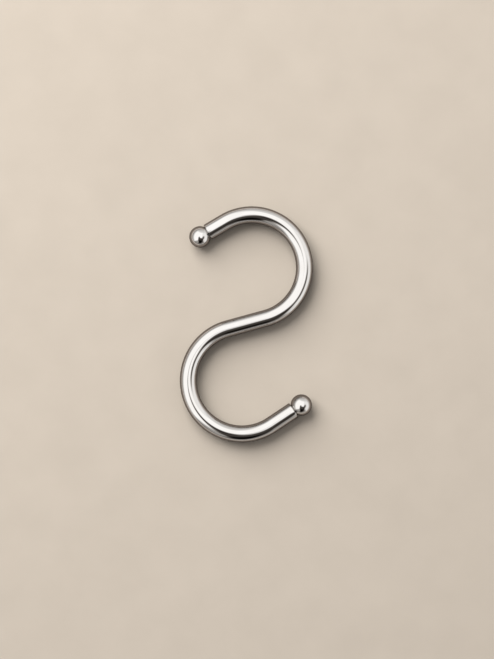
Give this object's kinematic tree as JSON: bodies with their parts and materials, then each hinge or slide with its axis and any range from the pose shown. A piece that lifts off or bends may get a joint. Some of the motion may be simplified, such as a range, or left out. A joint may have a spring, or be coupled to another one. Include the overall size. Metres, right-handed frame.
{
  "type": "s hook",
  "caption": "Flat S-shaped hook of polished round bar: open bends facing opposite ways, a short sloping shank between them and a small ball on each tip, to hang things from a rail.",
  "frame": {"origin": "centre of the upper bend, in the mid-plane of the bar: the axis of the rail that the hook hangs on", "axes": "+Y up the load line, from the lower bend's centre to the upper bend's centre; +Z square to the plane of the hook; the upper hook opens towards -X and the lower towards +X"},
  "size_m": [0.0406, 0.07, 0.0064],
  "materials": {
    "polished_bar": "mirror polished steel, with faint polishing lines round the bar",
    "polished_ball": "mirror polished steel, smooth"
  },
  "bodies": {
    "root": {"bent_rod": "polished_bar", "upper_ball": "polished_ball", "lower_ball": "polished_ball"}
  },
  "joints": []
}
